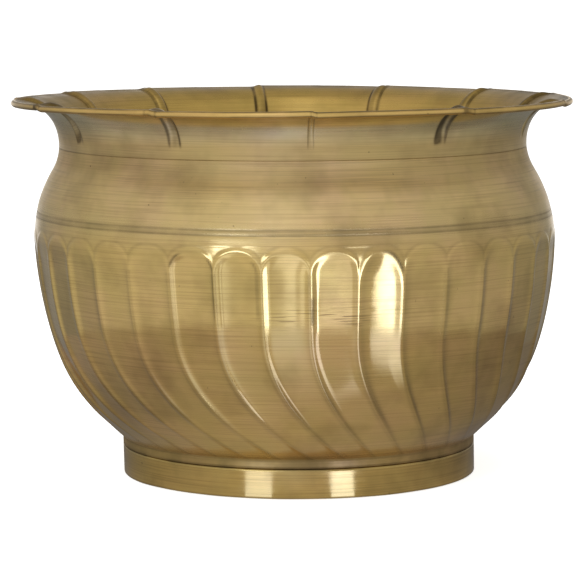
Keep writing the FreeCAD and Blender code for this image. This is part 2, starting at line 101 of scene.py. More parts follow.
CRIMPS = (-92.0, -61.0, -28.0, 4.0, 36.0, 72.5, 105.0, 131.0, 158.5, 188.0, 215.5, 239.5)
SHALLOW_CRIMP = 3           # the ones that differ, by their place in the list
# creases with an extra band of painted shade along one side
DARKEST_CRIMPS = (1, 4)
CRIMP_DEPTH = 1.6
CRIMP_WIDTH = 5.8
CRIMP_START = 153.0
CRIMP_RISE = 8.0            # length over which a crease comes up out of the neck
CRIMP_LEFT = 0.12           # share of its height that a crease keeps at the bead

LEAN = 0.0159               # sideways shift per unit of height: the pot leans a little to its left
SEED = 7

# ---------------------------------------------------------------- small helpers
def smooth(share):
    share = np.clip(share, 0.0, 1.0)
    return share * share * (3.0 - 2.0 * share)


def bump_at(offset, width):
    return np.exp(-(offset / width) ** 2)


def polar(centre, radius, angle):
    return centre[0] + radius * np.cos(angle), centre[1] + radius * np.sin(angle)


def direction(centre, place):
    return math.atan2(place[1] - centre[1], place[0] - centre[0])


def circles_meet(centre_a, radius_a, centre_b, radius_b):
    """Point where two circles cross, on the left going from a to b."""
    dx, dz = centre_b[0] - centre_a[0], centre_b[1] - centre_a[1]
    gap = math.hypot(dx, dz)
    along = (radius_a**2 - radius_b**2 + gap**2) / (2 * gap)
    across = math.sqrt(radius_a**2 - along**2)
    return (centre_a[0] + (along * dx - across * dz) / gap,
            centre_a[1] + (along * dz + across * dx) / gap)


def turn_between(angles, middle):
    """Signed degrees from a direction, the short way round."""
    return (angles - middle + 180.0) % 360.0 - 180.0


def wobble(angles, seed, orders):
    """Slow unevenness round the pot, about -1 to 1, that closes on itself."""
    random = np.random.default_rng(seed)
    total = np.zeros_like(angles)
    for order in orders:
        total = total + random.uniform(0.5, 1.0) * np.sin(
            np.radians(order * angles) + random.uniform(0.0, 2 * math.pi))
    return total / len(orders)


# ---------------------------------------------------------------- outline: tangent arcs
SIDE_CENTRE = (BELLY[0] - SIDE_CURVE, BELLY[1])
LOWER_CENTRE = circles_meet(SIDE_CENTRE, SIDE_CURVE - LOWER_CURVE,
                            (FOOT_RADIUS, TRAY_HEIGHT), LOWER_CURVE)
LOWER_TOP = direction(SIDE_CENTRE, LOWER_CENTRE)
LOWER_END = direction(LOWER_CENTRE, (FOOT_RADIUS, TRAY_HEIGHT))
SIDE_JOINT = SIDE_CENTRE[1] + SIDE_CURVE * math.sin(LOWER_TOP)
THROAT_CENTRE = (THROAT[0] + THROAT_CURVE, THROAT[1])
SHOULDER_CENTRE = circles_meet(BAND_TOP, SHOULDER_CURVE,
                               THROAT_CENTRE, SHOULDER_CURVE + THROAT_CURVE)
SHOULDER_JOINT = polar(SHOULDER_CENTRE, SHOULDER_CURVE, direction(SHOULDER_CENTRE, THROAT_CENTRE))


def ridge_radius(height):
    upper = SIDE_CENTRE[0] + np.sqrt(SIDE_CURVE**2 - (height - SIDE_CENTRE[1]) ** 2)
    drop = np.minimum(np.abs(height - LOWER_CENTRE[1]), LOWER_CURVE)
    lower = LOWER_CENTRE[0] + np.sqrt(LOWER_CURVE**2 - drop**2)
    return np.where(height > SIDE_JOINT, upper, lower)


def ridge_slope(height):
    """Sine of the belly's steepness: 1 where it is upright."""
    if height > SIDE_JOINT:
        return math.sqrt(1 - ((height - SIDE_CENTRE[1]) / SIDE_CURVE) ** 2)
    return math.sqrt(1 - ((height - LOWER_CENTRE[1]) / LOWER_CURVE) ** 2)


def neck_radius(height, inset):
    """Shoulder and throat, up to the seam."""
    if height < SHOULDER_JOINT[1]:
        curve = SHOULDER_CURVE - inset
        return SHOULDER_CENTRE[0] + math.sqrt(curve**2 - (height - SHOULDER_CENTRE[1]) ** 2)
    curve = THROAT_CURVE + inset
    return THROAT_CENTRE[0] - math.sqrt(curve**2 - (height - THROAT_CENTRE[1]) ** 2)


# ---------------------------------------------------------------- meshes
class Skin:
    """A closed mesh made of rows of points round the pot, one after another."""

    def __init__(self, angles):
        self.angles = angles
        self.rows = []
        self.shade_and_grime = []
        self.inner = []

    def add(self, radius, height, sweep=0.0, shade_and_grime=0.0, inner=0.0):
        """One row: numbers or arrays for its radius, height and painted shade and dirt, and whether it
        is inside.
        """
        turn = np.radians(self.angles + sweep - 90.0)
        ones = np.ones_like(turn)
        x = radius * np.cos(turn) - LEAN * height
        self.rows.append(np.stack([x, radius * np.sin(turn), height * ones], axis=1) * MM)
        self.shade_and_grime.append(np.clip(shade_and_grime * ones, 0.0, 1.0))
        self.inner.append(inner * ones)

    def build(self, name, poles=False):
        """Mesh object; with poles, the first and last rows close on a point of the axis."""
        columns = len(self.angles)
        count = len(self.rows)
        points = np.concatenate(self.rows)
        shade_and_grime = np.concatenate(self.shade_and_grime)
        inner = np.concatenate(self.inner)
        row = np.arange(count - 1 if poles else count)[:, None]
        column = np.arange(columns)[None, :]
        after = (column + 1) % columns
        above = (row + 1) % count
        quads = np.stack(np.broadcast_arrays(row * columns + column, row * columns + after,
                                             above * columns + after, above * columns + column),
                         axis=-1).reshape(-1, 4)
        steps = [np.linalg.norm(self.rows[i + 1] - self.rows[i], axis=1).mean()
                 for i in range(count - 1)]
        along = np.concatenate([[0.0], np.cumsum(steps)])
        share = np.append(np.arange(columns) / columns, 1.0)
        next_along = np.append(along[1:], along[-1] + 0.001)
        u0 = np.broadcast_to(share[:-1][None, :], (len(row), columns))
        u1 = np.broadcast_to(share[1:][None, :], (len(row), columns))
        v0 = np.broadcast_to(along[:len(row), None], (len(row), columns))
        v1 = np.broadcast_to(next_along[:len(row), None], (len(row), columns))
        uvs = np.stack([np.stack([u0, v0], -1), np.stack([u1, v0], -1),
                        np.stack([u1, v1], -1), np.stack([u0, v1], -1)], axis=2).reshape(-1, 2)
        triangles = np.zeros((0, 3), int)
        if poles:
            first, last = len(points), len(points) + 1
            centres = np.stack([self.rows[0].mean(0), self.rows[-1].mean(0)])
            points = np.concatenate([points, centres])
            shade_and_grime = np.concatenate([shade_and_grime, [self.shade_and_grime[0].mean(), self.shade_and_grime[-1].mean()]])
            inner = np.concatenate([inner, [self.inner[0].mean(), self.inner[-1].mean()]])
            ring = np.arange(columns)
            end = (count - 1) * columns
            triangles = np.concatenate([
                np.stack([np.full(columns, first), (ring + 1) % columns, ring], axis=1),
                np.stack([end + ring, end + (ring + 1) % columns, np.full(columns, last)], axis=1)])
            flat = np.zeros((len(triangles) * 3, 2))
            flat[: columns * 3, 1] = along[0]
            flat[columns * 3:, 1] = along[-1]
            uvs = np.concatenate([uvs, flat])
        mesh = bpy.data.meshes.new(name)
        corners = np.concatenate([quads.ravel(), triangles.ravel()])
        sizes = np.concatenate([np.full(len(quads), 4), np.full(len(triangles), 3)])
        mesh.vertices.add(len(points))
        mesh.vertices.foreach_set("co", points.astype(np.float32).ravel())
        mesh.loops.add(len(corners))
        mesh.loops.foreach_set("vertex_index", corners.astype(np.int32))
        mesh.polygons.add(len(sizes))
        starts = np.concatenate([[0], np.cumsum(sizes)[:-1]])
        mesh.polygons.foreach_set("loop_start", starts.astype(np.int32))
        mesh.polygons.foreach_set("use_smooth", np.ones(len(sizes), bool))
        mesh.uv_layers.new(name="turning")
        mesh.uv_layers["turning"].data.foreach_set("uv", uvs.astype(np.float32).ravel())
        for attribute, values in (("shade_and_grime", shade_and_grime), ("inner", inner)):
            marks = mesh.attributes.new(attribute, "FLOAT", "POINT")
            marks.data.foreach_set("value", values.astype(np.float32))
        mesh.update(calc_edges=True)
        mesh.validate()
        piece = bpy.data.objects.new(name, mesh)
        bpy.context.scene.collection.objects.link(piece)
        return piece


def finish_piece(piece, material, slot, *nodes):
    piece.data.materials.append(material)
    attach(piece, "root")
    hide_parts(*nodes)


# ---------------------------------------------------------------- bowl
FLUTE_COLUMNS = 24
EVENNESS = 0.5              # 1 spaces a flute's columns evenly, 0 crowds them at the ridges
CHANNEL_ROWS = 44
ARCH_ROWS = 40
DENTS = ((-32.5, 91.0, 2.0, 2.0, 0.2), (4.4, 86.0, 0.9, 9.0, 0.2), (33.0, 67.0, 2.2, 2.2, 0.18),
         (25.0, 44.0, 2.0, 2.0, 0.2), (64.0, 96.0, 4.0, 4.0, 0.2), (120.0, 70.0, 3.5, 3.5, 0.25),
         (-110.0, 60.0, 3.0, 3.0, 0.2), (-150.0, 92.0, 4.0, 4.0, 0.25),
         (170.0, 45.0, 3.0, 3.0, 0.2))   # angle, height, reach sideways and up, depth

RIDGE_SHADE = 0.25          # painted shade beside a ridge
LOWER_START = 72.0          # height below which the flutes get deeper
LOWER_DEPTH = 0.9           # how much deeper they get under the belly
# flute, depth, tilt, height of its fade, height of its arch
OWN_FLUTES = ((-2, 1.1, 0.0, 9.0, 10.0), (-1, 1.0, -0.2, 10.0, 10.0), (0, 1.1, 0.0, 14.0, 10.0),
              (1, 0.95, 0.0, 10.0, 10.0), (2, 1.2, -0.1, 3.0, 17.0))
# painted shade lines beside single flutes: flute, place across it, width, lower and upper end, strength
SHADE_LINES = ((-2, 0.97, 0.05, 80.0, 109.0, 0.8), (-1, 0.8, 0.05, 82.0, 108.0, 0.45),
         (1, -0.92, 0.08, 79.0, 93.0, 0.7), (2, 0.98, 0.06, 101.0, 112.0, 0.9),
         (-2, -0.96, 0.06, 103.0, 111.0, 0.9), (0, 0.98, 0.05, 84.0, 104.0, 0.35))


def flute_columns():
    """Angles of the columns, and where each lies across its flute, from -1 to 1."""
    step = np.arange(FLUTE_COLUMNS) / FLUTE_COLUMNS
    even = 2.0 * step - 1.0
    crowded = -np.cos(math.pi * step)
    across = EVENNESS * even + (1 - EVENNESS) * crowded
    across = np.tile(across, FLUTES)
    index = np.repeat(np.arange(FLUTES), FLUTE_COLUMNS)
    angles = FLUTE_OFFSET + (index + across / 2) * FLUTE_PITCH
    return angles, across, index


def flute_makers():
    """Each flute's own depth, tilt, fade and arch, from being punched one at a time."""
    random = np.random.default_rng(SEED)
    depth = 1.0 + random.uniform(-0.12, 0.12, FLUTES)
    tilt = random.uniform(-0.12, 0.12, FLUTES)
    fade = ARCH_FADE + random.uniform(-4.0, 4.0, FLUTES)
    arch = ARCH_HEIGHT + random.uniform(-0.8, 0.8, FLUTES)
    for index, own_depth, own_tilt, own_fade, own_arch in OWN_FLUTES:
        arch[index] = own_arch
        depth[index] = own_depth
        tilt[index] = own_tilt
        fade[index] = own_fade
    return depth, tilt, fade, arch


COLUMN_ANGLES, ACROSS, FLUTE_INDEX = flute_columns()
OWN_DEPTH, OWN_TILT, OWN_FADE, OWN_ARCH = flute_makers()


def flute_section(facing):
    """Depth across one flute, added up from the way its sheet faces."""
    places, facings = zip(*facing)
    across = np.linspace(-1.0, 1.0, 401)
    slope = np.tan(np.radians(np.interp(across, places, facings)))
    slope = np.convolve(np.pad(slope, 7, mode="edge"), np.ones(15) / 15, mode="valid")
    slope = slope - slope.mean()
    depth = np.concatenate([[0.0], np.cumsum((slope[1:] + slope[:-1]) / 2)]) * FLUTE_HALF / 200
    return across, depth - (across + 1) / 2 * depth[-1]


PLAIN_SECTION = flute_section(FLUTE_FACING)
OWN_SECTIONS = {index: flute_section(facing) for index, facing in OWN_FACINGS.items()}


def section_depth(across):
    depth = np.interp(across, *PLAIN_SECTION)
    for index, section in OWN_SECTIONS.items():
        depth = np.where(FLUTE_INDEX == index, np.interp(across, *section), depth)
    return depth


def flute_relief(height):
    """Relief of one row below the ridges' outline, and the painted shade on it."""
    fade = min(1.0, (height - TRAY_HEIGHT) / FLUTE_FADE)
    run_out = float(smooth(fade)) ** 0.8 * float(ridge_radius(height)) / BELLY[0]
    tall = OWN_ARCH[FLUTE_INDEX]
    arch = np.maximum(0.0, (height - BAND_TOP[1] + ARCH_MARGIN + tall) / tall)
    ring = np.hypot(ACROSS, arch)
    inside = np.minimum(ring, 1.0)
    left = section_depth(-inside)
    right = section_depth(inside)
    lean = 0.5 + 0.5 * ACROSS / np.maximum(ring, 0.02)
    hollow = left + (right - left) * np.clip(lean, 0.0, 1.0)
    tilt = OWN_TILT[FLUTE_INDEX] * ACROSS * (1 - inside**2)
    run_out = run_out * (1 + LOWER_DEPTH * float(smooth((LOWER_START - height) / LOWER_START * 2)))
    top_fade = smooth((BAND_TOP[1] + 1.0 - height) / OWN_FADE[FLUTE_INDEX])
    relief = -run_out * top_fade * (OWN_DEPTH[FLUTE_INDEX] * hollow + tilt)
    relief = np.where(ring < 1, relief, -ARCH_STEP * smooth((ring - 1) / ARCH_EDGE))
    # painted shade line round the outside of each arch
    shade_and_dirt = 0.2 * bump_at(ring - 1 - ARCH_EDGE, 0.08) * (arch > 0)
    # painted shade beside the ridges, stronger and wider low on the belly
    lower = float(smooth((64.0 - height) / 34.0))
    beside = bump_at(ACROSS + 0.96, 0.05 + 0.1 * lower)
    beside = beside + 0.6 * bump_at(ACROSS - 0.9, 0.06 + 0.08 * lower)
    shade_and_dirt = shade_and_dirt + RIDGE_SHADE * (1.0 + 0.5 * lower) * beside * max(run_out, 0.8 * lower) * (arch <= 0)
    signed = np.copysign(ring, ACROSS)
    # painted shade lines beside single flutes
    for index, place, width, low, high, strength in SHADE_LINES:
        tall = smooth((height - low) / 3.0) * smooth((high - height) / 2.0)
        here = FLUTE_INDEX == index % FLUTES
        shade_and_dirt = shade_and_dirt + strength * tall * here * bump_at(signed - place, width)
    return relief, shade_and_dirt


def flute_sweep(height):
    if height > SIDE_JOINT:
        return 0.0
    turn = direction(LOWER_CENTRE, (float(ridge_radius(height)), height))
    share = (LOWER_TOP - turn) / (LOWER_TOP - LOWER_END)
    return FLUTE_TWIST * share**2


def dents(angles, height, radius):
    total = np.zeros_like(angles)
    for angle, level, wide, tall, depth in DENTS:
        away = np.hypot(np.radians(turn_between(angles, angle)) * radius / wide, (height - level) / tall)
        total = total + depth * bump_at(away, 1.0)
    return total


def band_row(skin, height, inner):
    sweep = flute_sweep(height)
    relief, shade_and_dirt = flute_relief(height)
    meeting = smooth((height - BAND_TOP[1] + ARCH_HEIGHT) / ARCH_HEIGHT) ** 4
    top_relief, _ = flute_relief(BAND_TOP[1])
    gap = BAND_TOP[0] - float(ridge_radius(BAND_TOP[1])) - top_relief
    spread = LOWER_SPREAD * bump_at(height - 40.0, 20.0) * float(smooth((height - TRAY_HEIGHT) / 14.0))
    radius = float(ridge_radius(height)) + relief + gap * meeting + spread
    radius = radius - dents(skin.angles + sweep, height, BELLY[0])
    if inner:
        radius = radius - SHEET / ridge_slope(height)
        # painted shade over the whole inside of the bowl
        shade_and_dirt = 0.35 * np.ones_like(radius)
    # painted shade in the corner where the belly meets the tray wall
    low = 0.2 * bump_at(height - TRAY_HEIGHT, 2.5)
    skin.add(radius, height, sweep, shade_and_dirt + low)


def band_heights():
    spring = BAND_TOP[1] - ARCH_HEIGHT - 2 * ARCH_MARGIN
    low = np.linspace(TRAY_HEIGHT + 0.4, spring, CHANNEL_ROWS, endpoint=False)
    return np.concatenate([low, np.linspace(spring, BAND_TOP[1], ARCH_ROWS)])


def neck_heights():
    """Rows up the shoulder, closer together at the turned lines and the seam."""
    plain = np.linspace(BAND_TOP[1] + 0.6, SEAM_HEIGHT - 1.2, 26)
    fine = [level + LINE_WIDTH * offset for level in LINE_HEIGHTS
            for offset in (-1.6, -1.0, -0.5, 0.0, 0.5, 1.0, 1.6)]
    seam = [SEAM_HEIGHT - SEAM_WIDTH * offset for offset in (1.5, 1.0, 0.6, 0.3, 0.0)]
    heights = [level for level in plain
               if all(abs(level - line) > 1.7 * LINE_WIDTH for line in LINE_HEIGHTS)]
    return sorted(heights + fine + seam)


def neck_row(skin, height, inner):
    radius = neck_radius(height, SHEET if inner else 0.0) * np.ones_like(skin.angles)
    # painted shade over the inside; outside, painted shade in the turned grooves, a darker band between
    # them and a faint dark seam
    shade_and_dirt = 0.35
    if not inner:
        groove = sum(bump_at(height - level, LINE_WIDTH) for level in LINE_HEIGHTS)
        seam = bump_at(height - SEAM_HEIGHT, SEAM_WIDTH)
        radius = radius - LINE_DEPTH * groove - SEAM_DEPTH * seam
        radius = radius + 0.12 * wobble(skin.angles + 3 * height, SEED, (3, 5, 8))
        radius = radius - dents(skin.angles, height, BELLY[0])
        between = bump_at(height - sum(LINE_HEIGHTS) / 2, 1.2)
        shade_and_dirt = 0.45 * groove + 0.3 * between + 0.05 * seam
    skin.add(radius, height, 0.0, shade_and_dirt)


def make_bowl(material):
    skin = Skin(COLUMN_ANGLES)
    bend_centre = (FOOT_RADIUS - SEEN_BEND, FOOT_HEIGHT + SEEN_BEND)
    # underside, bend and tray wall, with painted shade, darkest in the bend by the foot
    for radius in (8.0, 30.0, 55.0, 70.0, bend_centre[0]):
        skin.add(radius, FOOT_HEIGHT, FLUTE_TWIST, 0.5)
    for turn in np.linspace(-80.0, 0.0, 6):
        radius, height = polar(bend_centre, SEEN_BEND, math.radians(turn))
        skin.add(radius, height, FLUTE_TWIST, 0.8)
    for height in np.linspace(bend_centre[1] + 0.6, TRAY_HEIGHT, 4):
        skin.add(FOOT_RADIUS, height, FLUTE_TWIST, 0.55)
    for height in band_heights():
        band_row(skin, height, False)
    for height in neck_heights():
        neck_row(skin, height, False)
    for height in neck_heights()[::-3]:
        neck_row(skin, height, True)
    for height in band_heights()[::-3]:
        band_row(skin, height, True)
    # inside of the tray wall and floor, with painted shade
    wall = FOOT_RADIUS - SHEET
    floor = FOOT_HEIGHT + SHEET
    for radius, height in ((wall, TRAY_HEIGHT - 1.0), (wall, floor + 0.7), (wall - 0.2, floor + 0.2)):
        skin.add(radius, height, FLUTE_TWIST, 0.6)
    for radius in (wall - 0.9, 70.0, 55.0, 30.0, 8.0):
        skin.add(radius, floor, FLUTE_TWIST, 0.45)
    piece = skin.build("fluted_bowl", poles=True)
    finish_piece(piece, material, "brushed_brass", "bowl")
    return piece


# ---------------------------------------------------------------- mouth collar and its wire
LIP_STEP = 1.0              # degrees between columns away from the creases
CREASE_STEP = 0.16          # degrees between columns at a crease
CREASE_REACH = 2.6          # degrees each side of a crease that have the closer columns
FLARE_ROWS = 54


def lip_columns():
    plain = [angle for angle in np.arange(-180.0, 180.0, LIP_STEP)
             if np.abs(turn_between(np.array(CRIMPS), angle)).min() > CREASE_REACH]
    close = [turn_between(crimp + offset, 0.0) for crimp in CRIMPS
             for offset in np.arange(-CREASE_REACH, CREASE_REACH, CREASE_STEP)]
    return np.array(sorted(plain + close))


def make_path():
    """Outside of the collar from the seam to the bead: distance, place and direction through it."""
    rise = math.radians(LIP_RISE)
    lip_end = polar(BEAD, WIRE_RADIUS, rise + math.pi / 2)
    below = polar(lip_end, FLARE_CURVE, rise - math.pi / 2)
    inset = THROAT_CURVE - FLARE_CURVE
    offset = (below[0] - THROAT_CENTRE[0], below[1] - THROAT_CENTRE[1])
    along = offset[0] * math.cos(rise) + offset[1] * math.sin(rise)
    across = offset[1] * math.cos(rise) - offset[0] * math.sin(rise)
    flare_centre = polar(below, -along - math.sqrt(inset**2 - across**2), rise)
    flare_start = direction(THROAT_CENTRE, flare_centre)
    flare_end = rise + math.pi / 2
    start = math.pi - math.asin((SEAM_HEIGHT - THROAT_CENTRE[1]) / THROAT_CURVE)
    lip_start = polar(flare_centre, FLARE_CURVE, flare_end)
    lengths = (THROAT_CURVE * (start - flare_start), FLARE_CURVE * (flare_start - flare_end),
               math.dist(lip_start, lip_end))
    stations = []
    for distance in np.linspace(0.0, sum(lengths), FLARE_ROWS):
        if distance < lengths[0]:
            through = start - distance / THROAT_CURVE
            place = polar(THROAT_CENTRE, THROAT_CURVE, through)
        elif distance < lengths[0] + lengths[1]:
            through = flare_start - (distance - lengths[0]) / FLARE_CURVE
            place = polar(flare_centre, FLARE_CURVE, through)
        else:
            through = flare_end
            place = polar(lip_start, distance - lengths[0] - lengths[1], rise)
        stations.append((distance, place, through))
    return stations


STATIONS = make_path()
PATH_LENGTH = STATIONS[-1][0]
CRIMP_PLACE = THROAT_CURVE * (math.asin((CRIMP_START - THROAT_CENTRE[1]) / THROAT_CURVE)
                              - math.asin((SEAM_HEIGHT - THROAT_CENTRE[1]) / THROAT_CURVE))


def crease_offset(angles, radius):
    """Signed distance from the nearest crease, and which crease it is."""
    turns = np.stack([turn_between(angles, crimp) for crimp in CRIMPS])
    nearest = np.abs(turns).argmin(axis=0)
    turn = np.take_along_axis(turns, nearest[None, :], axis=0)[0]
    return np.radians(turn) * radius, nearest


def crease(angles, distance, radius):
    """Rise of the sheet where a crease crosses it, and the painted shade in and beside it."""
    offset, nearest = crease_offset(angles, radius)
    random = np.random.default_rng(SEED + 1)
    own_depth = 1.0 + random.uniform(-0.2, 0.2, len(CRIMPS))
    own_depth[SHALLOW_CRIMP] = 0.3
    own_width = np.ones(len(CRIMPS))
    own_width[SHALLOW_CRIMP] = 0.45
    own_shade = random.uniform(0.2, 0.6, len(CRIMPS))
    own_shade[list(DARKEST_CRIMPS)] = 1.2
    own_start = random.uniform(-1.5, 1.5, len(CRIMPS))
    from_start = distance - CRIMP_PLACE - own_start[nearest]
    rise = smooth(from_start / CRIMP_RISE)
    fall = CRIMP_LEFT + (1 - CRIMP_LEFT) * smooth((PATH_LENGTH - distance) / 6.0)
    across = np.abs(offset) / (CRIMP_WIDTH / 2 * own_width[nearest])
    section = (1 - np.minimum(across, 1.0)**2.6) ** 1.2
    height = CRIMP_DEPTH * own_depth[nearest] * rise * fall * section
    # painted shade along the crease's edges and down its middle, more along one side of the darkest
    # creases
    shade_and_dirt = 1.3 * bump_at(across - 0.9, 0.2) + own_shade[nearest] * bump_at(across, 0.6)
    darkest = np.isin(nearest, DARKEST_CRIMPS) & (offset < 0.3)
    shade_and_dirt = shade_and_dirt + 2.5 * darkest * bump_at(across - 0.65, 0.45)
    shade_and_dirt = shade_and_dirt * smooth(from_start / 3.0) * (0.3 + 0.7 * own_width[nearest])
    return height, shade_and_dirt


def petal(angles, radius):
    """Rise and fall of the edge between creases: each petal starts low and ends high."""
    offset, _ = crease_offset(angles, radius)
    step = -0.35 * np.tanh(offset / 1.2) * np.exp(-np.abs(offset) / 14.0)
    return step + 0.25 * wobble(angles, SEED + 2, (2, 3, 5, 7))


def flare_row(skin, station, inset):
    distance, place, through = station
    height, shade_and_dirt = crease(skin.angles, distance, place[0])
    share = smooth((distance / PATH_LENGTH - 0.35) / 0.65)
    lift = inset + height + petal(skin.angles, place[0]) * share
    radius = place[0] + lift * math.cos(through)
    level = place[1] + lift * math.sin(through)
    near_seam = 0.06 * bump_at(distance, 0.6) if inset == 0.0 else 0.0
    # painted shade under the lip and just inside it, next to the bead
    near_bead_shade = 0.5 * bump_at(distance - PATH_LENGTH, 5.0)
    # painted shade on the inside of the collar, darkest at the left and right sides
    sides = np.sin(np.radians(skin.angles)) ** 4
    inner_shade = 0.2 + 0.4 * sides if inset else 0.0
    skin.add(radius, level, 0.0, 0.9 * shade_and_dirt + near_seam + near_bead_shade + inner_shade, 1.0 if inset else 0.0)


def bead_move(angles):
    """How far the wired edge is pulled up at a crease or droops in a petal."""
    height, shade_and_dirt = crease(angles, PATH_LENGTH, BEAD[0])
    return height + petal(angles, BEAD[0]), shade_and_dirt


def roll_row(skin, radius, turn, shade_and_dirt):
    lift, crease_shade = bead_move(skin.angles)
    through = STATIONS[-1][2]
    place = polar(BEAD, radius, turn)
    skin.add(place[0] + lift * math.cos(through), place[1] + lift * math.sin(through),
             0.0, shade_and_dirt + 0.35 * crease_shade, 0.5)


def make_collar(material):
    skin = Skin(lip_columns())
    for station in STATIONS:
        flare_row(skin, station, 0.0)
    start = STATIONS[-1][2]
    end = start - math.radians(ROLL_ANGLE)
    # inner face of the roll, against the wire: painted shade all over
    for turn in np.linspace(start, end, 16)[1:]:
        roll_row(skin, WIRE_RADIUS, turn, 0.8)
    # outer face of the bead: painted shade lines along its top and underside and where it tucks in, and
    # at the creases
    for turn in np.linspace(end, start, 26):
        shade_and_dirt = 0.6 * bump_at(turn - end, 0.5) + 0.95 * bump_at(turn - 1.05, 0.45)
        roll_row(skin, BEAD_RADIUS, turn, shade_and_dirt + 0.8 * bump_at(turn + 0.7, 0.35))
    for station in STATIONS[-2::-1]:
        flare_row(skin, station, SHEET)
    piece = skin.build("mouth_collar_skin")
    finish_piece(piece, material, "brushed_brass", "mouth_collar")
    return piece


def make_wire(material):
    skin = Skin(lip_columns())
    lift, _ = bead_move(skin.angles)
    through = STATIONS[-1][2]
    for turn in np.linspace(0.0, 2 * math.pi, 10, endpoint=False):
        place = polar(BEAD, WIRE_RADIUS - 0.03, turn)
        skin.add(place[0] + lift * math.cos(through), place[1] + lift * math.sin(through), 0.0, 0.3)
    piece = skin.build("edge_wire")
    finish_piece(piece, material, "iron_wire", "rim_wire")
    return piece


# ---------------------------------------------------------------- foot and brazed joints
def even_columns(count):
    return np.arange(count) * 360.0 / count - 180.0


def make_foot(material):
    skin = Skin(even_columns(480))
    uneven = 0.3 * wobble(skin.angles, SEED + 3, (2, 3, 5, 9))
    ground = 0.12 + 0.12 * wobble(skin.angles, SEED + 4, (3, 7, 12, 20))
    inside = FOOT_RADIUS - FOOT_STRIP
    worn = 0.35
    # darker along the bottom edge; painted shade at the top where the bowl sits and down the inside of
    # the ring
    outer = [(inside + worn, 0.0, 0.8), (FOOT_RADIUS - worn, 0.0, 0.8)]
    outer += [(FOOT_RADIUS - worn + worn * math.cos(turn), worn + worn * math.sin(turn), 0.5)
              for turn in (-1.1, -0.6, 0.0)]
    outer += [(FOOT_RADIUS, level, 0.8 * bump_at(level - FOOT_HEIGHT, 0.7))
              for level in np.linspace(1.0, FOOT_HEIGHT - 0.25, 16)]
    outer += [(FOOT_RADIUS - 0.2, FOOT_HEIGHT, 0.9), (inside + 0.2, FOOT_HEIGHT, 0.9)]
    outer += [(inside, level, 0.6) for level in np.linspace(FOOT_HEIGHT - 0.3, worn, 10)]
    outer += [(inside + worn - worn * math.cos(turn), worn + worn * math.sin(turn), 0.6)
              for turn in (-0.6, -1.1)]
    for radius, level, shade_and_dirt in outer:
        low = 1.0 - level / FOOT_HEIGHT
        skin.add(radius + uneven * low, level + ground * low, 0.0, shade_and_dirt)
    piece = skin.build("ring_foot")
    finish_piece(piece, material, "brushed_brass", "foot_ring")
    return piece


def make_fill(name, corner, leg, spans, material, node, seed):
    """Uneven brazed fillet: a low round section that swells and thins round the pot."""
    skin = Skin(even_columns(360))
    swell = 0.8 + 0.22 * wobble(skin.angles, seed, (5, 9, 16, 27))
    for turn in spans:
        place = polar((0.0, 0.0), leg, turn)
        skin.add(corner[0] + place[0] * swell, corner[1] + place[1] * swell, 0.0,
                 0.4 + 0.3 * wobble(skin.angles, seed + 1, (11, 19, 31)))
    skin.add(corner[0] + 0.05, corner[1] + 0.05, 0.0, 0.5)
    piece = skin.build(name)
    finish_piece(piece, material, "braze", node)
    return piece


def make_neck_fill(material):
    """Uneven brazed band over the neck joint on the inside."""
    skin = Skin(even_columns(360))
    edge = wobble(skin.angles, SEED + 9, (6, 11, 19, 33))
    swell = 1.0 + 0.25 * wobble(skin.angles, SEED + 8, (5, 9, 16, 27))
    base = THROAT_CURVE + SHEET
    half = 2.4
    for share in np.linspace(-1.0, 1.0, 13):
        level = SEAM_HEIGHT + share * (half + 0.35 * edge)
        depth = base + 0.05 + 0.6 * (1 - share**2) * swell
        radius = THROAT_CENTRE[0] - np.sqrt(depth**2 - (level - THROAT_CENTRE[1]) ** 2)
        skin.add(radius, level, 0.0, 0.4 + 0.3 * wobble(skin.angles, SEED + 5, (11, 19, 31)))
    for share in (0.6, -0.6):
        level = SEAM_HEIGHT + share * half
        radius = THROAT_CENTRE[0] - math.sqrt((base - 0.1) ** 2 - (level - THROAT_CENTRE[1]) ** 2)
        skin.add(radius, level, 0.0, 0.4)
    piece = skin.build("neck_joint_fill")
    finish_piece(piece, material, "braze", "neck_braze")
    return piece


